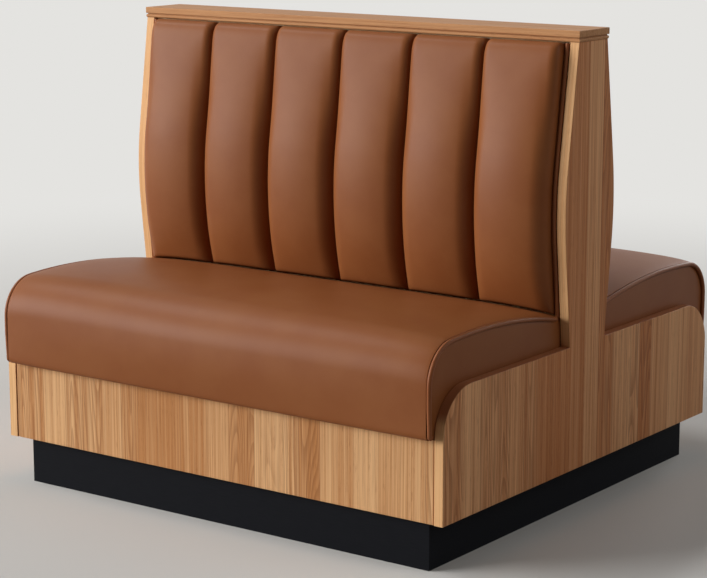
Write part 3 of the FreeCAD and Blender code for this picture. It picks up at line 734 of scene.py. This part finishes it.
def cushion_place(way, inward, along):
    """Points for shares round the cover, in from it, and along the bench. The rows crowd towards the ends.

    The inner side follows the boards, and past their ends the cover wraps further in and under them."""
    place = 2 * along - 1
    eased_place = np.sin(place * math.pi / 2 * end_crowding) / math.sin(math.pi / 2 * end_crowding)
    share = crown_share(eased_place)
    x = eased_place * cushion_half
    over_boards = inner_line(way, -apron_low.y, board_high.z)
    past_boards = inner_line(way, -apron_high.y - cover_turn_in, board_low.z)
    wraps = np.abs(x) > wrap_half
    outer = outer_line(way, share)
    inner = [np.where(wraps, past, over) for past, over in zip(past_boards, over_boards)]
    deep = inward ** depth_crowding
    depth = outer[0] + (inner[0] - outer[0]) * deep
    height = outer[1] + (inner[1] - outer[1]) * deep
    below = np.hypot(outer[0] - inner[0], outer[1] - inner[1]) * deep
    at_end = (along == 0) | (along == 1)
    pulled_in = np.where(at_end, seam_pull * np.exp(-(below / seam_width) ** 2), 0)
    return np.stack([x - np.sign(x) * pulled_in, -depth, height], axis=1)


print("the cover wraps past", round(wrap_half, 4))

# %% Build and fill the front cushion, and turn it for the rear
cushion_counts = 92, 8, 112
cushion_pressure, cushion_most, cushion_evening = 0.2, 0.008, 60
core_from, seam_rows = 0.5, 0.03

cushion, cushion_shares = closed_block("seat_cushion_front", cushion_counts, cushion_place)
way, inward, along = cushion_shares.T
rows_from_end = np.minimum(along, 1 - along) * cushion_counts[2]
at_seam = (way < seam_rows) | (way > 1 - seam_rows) | (rows_from_end < 1)
held = np.where((inward > core_from) | at_seam, 1.0, 0.0)
fill_with_pressure(cushion, held, cushion_pressure, cushion_most, cushion_evening)
smooth_finish(cushion, cover_leather)
rear_cushion = turned_copy(cushion, "seat_cushion_rear")
for side, piece in (("front", cushion), ("rear", rear_cushion)):
    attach(piece, "root")
    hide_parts(f"seat_cover_{side}", f"seat_foam_{side}")
print("cushion points:", len(cushion.data.vertices))

# %% [markdown]
# ## Back channels
# Six padded channels stand side by side on each face of the back. Over most of its height a channel is deep
# and round. Towards the cap its cover is pulled tight, so there it is shallower and flatter with steeper
# flanks, and it tucks in a little at the seat. So a channel is built like the cushion, but between two
# sections, laid along the back's line, and then filled by a cloth simulation with its seams held.

# %% Sizes of a channel
channel_low, channel_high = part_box("back_channel_front_3")
channel_width = channel_high.x - channel_low.x
channel_half = channel_width / 2
channel_top = channel_high.z
channel_base = -0.0065
full_section = {"height": 0.056, "wall": 0.008, "shoulder": 0.043}
tight_section = {"height": 0.040, "wall": 0.0185, "shoulder": 0.020}
tight_from, tight_to = 0.50, 0.93
end_rounding, end_reach, end_narrowing, end_squareness = 0.020, 0.045, 0.006, 2.4
foot_tuck, foot_tuck_reach = 0.017, 0.115
seat_clearance = 0.0004
print("channel width:", round(channel_width, 4), "top:", round(channel_top, 4))


# %% Section of a channel
def smooth_step(value, low, high):
    """0 below a range and 1 above it, with a smooth climb between."""
    share = np.clip((value - low) / (high - low), 0, 1)
    return share * share * (3 - 2 * share)


def channel_section(across, height, wall, shoulder):
    """Place across a channel and height over its base, for shares from -1 to 1 along its outer line.

    The line starts at the top of a short wall, turns over a shoulder and runs into a flat arc, the crest."""
    flat, over = channel_half - shoulder, height - wall
    crest = (flat ** 2 + over ** 2 - shoulder ** 2) / (2 * (over - shoulder))
    crest_turn = math.atan2(wall - (height - crest), flat)
    lengths = shoulder * crest_turn, crest * (math.pi / 2 - crest_turn)
    run = (1 - np.abs(across)) * sum(lengths)
    turn = np.clip(run, 0, lengths[0]) / shoulder
    x = flat + shoulder * np.cos(turn)
    rise = wall + shoulder * np.sin(turn)
    angle = crest_turn + np.clip(run - lengths[0], 0, lengths[1]) / crest
    past = run > lengths[0]
    x = np.where(past, crest * np.cos(angle), x)
    rise = np.where(past, height - crest + crest * np.sin(angle), rise)
    return np.sign(across) * x, rise


for name, section in (("full", full_section), ("tight", tight_section)):
    print(name, "section rises to", round(float(channel_section(np.array(0.0), **section)[1]), 4))

# %% Rule for a channel's points
foot_rounds = 6


def channel_points(middle_x):
    """Rule for the points of the channel whose middle is at a place along the bench.

    A foot has to stand on the crowned seat, whose height depends on how far out it stands, so the two are
    found in turn, in a few rounds."""
    def place(across, inward, upward):
        full = channel_section(2 * across - 1, **full_section)
        tight = channel_section(2 * across - 1, **tight_section)
        tightness = smooth_step(upward, tight_from, tight_to)
        x, height = (one + (other - one) * tightness for one, other in zip(full, tight))
        base_x = (2 * across - 1) * channel_half
        x = x + (base_x - x) * inward
        height = height * (1 - inward)
        share = crown_share((middle_x + x) / cushion_half)
        top = climb_at(channel_top, channel_base) + 0 * height
        foot = climb_at(seat_peak + 0 * height, channel_base + height)
        for _ in range(foot_rounds):
            depth = back_line(foot, channel_base + height)[0]
            foot = climb_at(seat_top(depth, share) + seat_clearance, channel_base + height)
        climb = foot + (top - foot) * upward
        ending = np.clip((climb - (top - end_reach)) / end_reach, 0, 1)
        ending = 1 - np.sqrt(1 - ending ** end_squareness)
        tucked = np.clip(1 - (climb - foot) / foot_tuck_reach, 0, 1) ** 2
        top_loss, foot_loss = end_rounding / tight_section["height"], foot_tuck / full_section["height"]
        fullness = 1 - top_loss * ending - foot_loss * tucked
        depth, z = back_line(climb, channel_base + height * fullness)
        x = x * (1 - end_narrowing / channel_half * ending * (1 - inward))
        return np.stack([middle_x + x, -depth, z], axis=1)
    return place


print("rule:", channel_points.__name__)

# %% Build and fill the channels
channel_counts = 44, 5, 84
channel_pressure, channel_most, channel_evening = 1.5, 0.004, 12
flank_from, skin_to = 0.44, 0.1


def build_channel(number):
    """One front channel, filled, and kept within its own width."""
    low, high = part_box(f"back_channel_front_{number}")
    middle_x = (low.x + high.x) / 2
    piece, shares = closed_block(f"channel_front_{number}", channel_counts, channel_points(middle_x))
    across, inward, upward = shares.T
    at_seam = (np.abs(across - 0.5) > flank_from) | (upward < seam_rows) | (upward > 1 - seam_rows)
    held = np.where((inward > skin_to) | at_seam, 1.0, 0.0)
    fill_with_pressure(piece, held, channel_pressure, channel_most, channel_evening)
    points = coordinates(piece.data)
    points[:, 0] = np.clip(points[:, 0], low.x, high.x)
    set_coordinates(piece.data, points)
    return smooth_finish(piece, cover_leather)


for number in range(1, 7):
    channel = build_channel(number)
    rear_channel = turned_copy(channel, f"channel_rear_{number}")
    for side, piece in (("front", channel), ("rear", rear_channel)):
        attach(piece, "root")
        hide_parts(f"back_channel_{side}_{number}")
print("channel points:", len(channel.data.vertices))

# %% [markdown]
# ## Lining behind the channels
# The channels are sewn to a thin padded lining, which is stapled to the back boards. Little of it shows, at
# the bottom of the seams only, but a soft piece is made as one: the same block of quads, bent to the back's
# line, with a shallow furrow along each row of stitches.

# %% Lay the lining
lining_low, lining_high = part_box("back_pad_front")
lining_gap = 0.0002
lining_face, lining_back = channel_base - lining_gap, -0.0125
furrow_depth, furrow_width = 0.0015, 0.004
lining_counts = 180, 1, 60


def lining_place(across, inward, upward):
    """Points of the lining, with a furrow where two channels meet."""
    x = lining_low.x + (lining_high.x - lining_low.x) * across
    from_seam = (x / channel_width - np.round(x / channel_width)) * channel_width
    furrow = furrow_depth * np.exp(-(from_seam / furrow_width) ** 2) * (1 - inward)
    offset = lining_face + (lining_back - lining_face) * inward - furrow
    foot, top = climb_at(lining_low.z + 0 * x, offset), climb_at(lining_high.z + 0 * x, offset)
    depth, z = back_line(foot + (top - foot) * upward, offset)
    return np.stack([x, -depth, z], axis=1)


lining = closed_block("back_lining_front", lining_counts, lining_place)[0]
smooth_finish(lining, upholstery_foam, levels=0)
rear_lining = turned_copy(lining, "back_lining_rear")
for side, piece in (("front", lining), ("rear", rear_lining)):
    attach(piece, "root")
    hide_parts(f"back_pad_{side}")
print("lining points:", len(lining.data.vertices))

# %% [markdown]
# ## Piping
# Piping is a cord in a strip of leather, sewn into a seam. Here it runs along each end of the cushions and
# down each side of the back. A tube that follows a path is a job for Geometry Nodes: the path is a line of
# points, a profile circle is swept along it, and the same tree serves every run.

# %% Geometry Nodes tree: piping along a path
cord_sides = 14

piping_tree, given, result = new_group(
    "piping along a path",
    [
        ("Path", "NodeSocketGeometry", None), ("Cord Radius", "NodeSocketFloat", 0.004),
        ("Step", "NodeSocketFloat", 0.006), ("Finish", "NodeSocketMaterial", None),
    ],
    [("Piping", "NodeSocketGeometry")],
    "GeometryNodeTree",
)
piping_line = add(piping_tree, "GeometryNodeMeshToCurve", {"Mesh": given["Path"]}).outputs["Curve"]
even_line = add(
    piping_tree, "GeometryNodeResampleCurve", {"Curve": piping_line, "Length": given["Step"]}, mode="LENGTH"
).outputs["Curve"]
profile = add(
    piping_tree, "GeometryNodeCurvePrimitiveCircle",
    {"Resolution": cord_sides, "Radius": given["Cord Radius"]},
).outputs["Curve"]
swept = add(
    piping_tree, "GeometryNodeCurveToMesh",
    {"Curve": even_line, "Profile Curve": profile, "Fill Caps": True},
).outputs["Mesh"]
rounded = add(piping_tree, "GeometryNodeSetShadeSmooth", {"Geometry": swept}).outputs["Geometry"]
real = add(piping_tree, "GeometryNodeRealizeInstances", {"Geometry": rounded}).outputs["Geometry"]
finished = add(
    piping_tree, "GeometryNodeSetMaterial", {"Geometry": real, "Material": given["Finish"]}
).outputs["Geometry"]
piping_tree.links.new(finished, result.inputs["Piping"])
print("tree:", piping_tree.name)


# %% A path, and the plain mesh that a tree makes of it
def path_mesh(name, lines):
    """Mesh of open lines of points, with no faces."""
    points, edges = [], []
    for line in lines:
        first = len(points)
        points += [tuple(point) for point in line]
        edges += [(first + n, first + n + 1) for n in range(len(line) - 1)]
    mesh = bpy.data.meshes.new(name)
    mesh.from_pydata(points, edges, [])
    return mesh


def tree_result(name, path, tree, values):
    """Plain mesh that a Geometry Nodes tree makes of a path, as a new object."""
    carrier = bpy.data.objects.new(name + "_path", path)
    bpy.context.scene.collection.objects.link(carrier)
    modifier = carrier.modifiers.new("nodes", "NODES")
    modifier.node_group = tree
    for socket in tree.interface.items_tree:
        if socket.item_type == "SOCKET" and socket.in_out == "INPUT" and socket.name in values:
            modifier[socket.identifier] = values[socket.name]
    bpy.context.view_layer.update()
    seen = carrier.evaluated_get(bpy.context.evaluated_depsgraph_get())
    mesh = bpy.data.meshes.new_from_object(seen)
    mesh.name = name
    carrier.modifiers.remove(modifier)
    bpy.data.objects.remove(carrier)
    piece = bpy.data.objects.new(name, mesh)
    bpy.context.scene.collection.objects.link(piece)
    return piece


print("helpers:", path_mesh.__name__, tree_result.__name__)

# %% Line of the seat piping
line_points = 160
cord_radius, cord_step = 0.005, 0.006
seat_welt_stand = 0.0025
seat_welt_x = cushion_half + seat_welt_stand
seat_welt_rear = -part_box("seat_welts_front")[1].y
rear_way = 0.985
cord_stand, cord_tuck = -0.0025, -0.005
tucked_to, standing_from = 0.02, 0.12

ways = np.linspace(0.0, rear_way, line_points)
seat_depth, seat_height = outer_line(ways, np.zeros(line_points))
ahead = seat_depth > seat_welt_rear + cord_radius
ways, seat_depth, seat_height = ways[ahead], seat_depth[ahead], seat_height[ahead]
across_line = np.stack([-np.gradient(seat_height), np.gradient(seat_depth)])
across_line /= np.linalg.norm(across_line, axis=0)
stand = cord_tuck + (cord_stand - cord_tuck) * smooth_step(ways, tucked_to, standing_from)
seat_depth, seat_height = seat_depth - across_line[0] * stand, seat_height - across_line[1] * stand
print("seat piping from", round(float(seat_depth[0]), 3), "to", round(float(seat_depth[-1]), 3), "deep")

# %% Line of the back piping
back_welt_low, back_welt_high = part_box("back_welts_front")
back_welt_x = back_welt_high.x - cord_radius
back_welt_offset = -0.0015

climbs = np.linspace(
    climb_at(back_welt_low.z + cord_radius, back_welt_offset),
    climb_at(channel_top, back_welt_offset), line_points,
)
back_depth, back_height = back_line(climbs, back_welt_offset)
print("back piping from", round(float(back_height[0]), 3), "to", round(float(back_height[-1]), 3), "high")


# %% Lay the piping
def lay_piping(name, depth, height, x, sign, node):
    """One pair of piping lines, at -x and x, in place of a CAD node."""
    lines = [np.stack([end + 0 * depth, sign * depth, height], axis=1) for end in (-x, x)]
    values = {"Cord Radius": cord_radius, "Step": cord_step, "Finish": piping_leather}
    piece = tree_result(name, path_mesh(name, lines), piping_tree, values)
    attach(piece, "root")
    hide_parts(node)
    print(name, "points:", len(piece.data.vertices))


for side, sign in (("front", -1), ("rear", 1)):
    lay_piping(f"seat_piping_{side}", seat_depth, seat_height, seat_welt_x, sign, f"seat_welts_{side}")
    lay_piping(f"back_piping_{side}", back_depth, back_height, back_welt_x, sign, f"back_welts_{side}")

# %% [markdown]
# ## Floor
# A plain pale floor keeps the eye on the bench. Round the bench it is a real surface that takes its shadow,
# and further out it fades into the background's own tone, so that no horizon shows. Rays of the camera and
# of reflections see it pale. Rays that carry light on find it darker, so that it lights the bench less.

# %% Lay the floor
floor_reach, fade_start, fade_stop = 40.0, 1.3, 4.2
pale = linear("E4E3E0")


def seen_directly(tree):
    """1 for rays of the camera, of reflections and of glass, and 0 for rays that carry light on."""
    rays = tree.nodes.new("ShaderNodeLightPath").outputs
    mirrored = maths(tree, "MAXIMUM", rays["Is Glossy Ray"], rays["Is Transmission Ray"])
    return maths(tree, "MAXIMUM", rays["Is Camera Ray"], mirrored)


corners = [(-1, -1), (1, -1), (1, 1), (-1, 1)]
floor_mesh = bpy.data.meshes.new("floor")
floor_mesh.from_pydata([(x * floor_reach, y * floor_reach, 0) for x, y in corners], [], [(0, 1, 2, 3)])
floor = bpy.data.objects.new("floor", floor_mesh)
bpy.context.scene.collection.objects.link(floor)
floor_material, tree, shader, place = new_material("floor", specular=0.1)
floor_colour = blend_colours(tree, seen_directly(tree), linear("A5A29E"), linear("DAD8D4"))
tree.links.new(floor_colour, shader.inputs["Base Color"])
shader.inputs["Roughness"].default_value = 0.9
away = add(tree, "ShaderNodeVectorMath", {0: place}, operation="LENGTH").outputs["Value"]
faded = maths(tree, "MULTIPLY", ramped(tree, away, fade_start, fade_stop), seen_directly(tree))
glow = add(tree, "ShaderNodeEmission", {"Color": pale, "Strength": 1.0}).outputs["Emission"]
mixed = add(tree, "ShaderNodeMixShader", {"Fac": faded, 1: shader.outputs["BSDF"], 2: glow}).outputs["Shader"]
tree.links.new(mixed, tree.nodes["Material Output"].inputs["Surface"])
floor_mesh.materials.append(floor_material)
print("floor fades between", fade_start, "and", fade_stop, "from the middle")

# %% [markdown]
# ## Light
# The light is that of a studio. A wide key lamp stands low on the left of the front seat, so that the front
# is bright, the channels' right flanks are dark and the end panel lies in shade. A smaller lamp high on the
# left lays a band of sheen along the front roll. A faint lamp on the right opens the shade, and one behind
# shows the rear seat. The surroundings add almost no light, but they are pale where they are seen.

# %% Place the lamps
def area_lamp(name, bearing, elevation, distance, size, power, aim=(0.0, 0.0, 0.5)):
    """Soft lamp. Its bearing is in degrees from straight ahead of the front seat towards its left end."""
    bearing, elevation = math.radians(bearing), math.radians(elevation)
    outwards = Vector((
        -math.sin(bearing) * math.cos(elevation),
        -math.cos(bearing) * math.cos(elevation),
        math.sin(elevation),
    ))
    data = bpy.data.lights.new(name, "AREA")
    data.shape = "RECTANGLE"
    data.size, data.size_y = size
    data.energy = power
    lamp = bpy.data.objects.new(name, data)
    lamp.location = Vector(aim) + outwards * distance
    lamp.rotation_mode = "QUATERNION"
    lamp.rotation_quaternion = (-outwards).to_track_quat("-Z", "Y")
    bpy.context.scene.collection.objects.link(lamp)
    print(name, "at", [round(value, 2) for value in lamp.location])


area_lamp("key lamp", 48, 15, 16.0, (10.0, 8.5), 2850.0)
area_lamp("high lamp", 70, 50, 10.0, (3.4, 1.6), 330.0)
area_lamp("right fill", -100, 32, 8.0, (4.0, 3.2), 100.0)
area_lamp("rear lamp", 180, 16, 12.0, (7.0, 5.0), 400.0)

# %% Surroundings
strength_seen, strength_lighting = 1.0, 0.04

world = bpy.data.worlds.new("surroundings")
world.use_nodes = True
bpy.context.scene.world = world
tree = world.node_tree
background = tree.nodes["Background"]
background.inputs["Color"].default_value = pale
world_strength = maths(
    tree, "MULTIPLY_ADD", seen_directly(tree), strength_seen - strength_lighting, strength_lighting
)
tree.links.new(world_strength, background.inputs["Strength"])
bpy.context.scene.view_settings.view_transform = "Standard"
print("surroundings:", world.name)
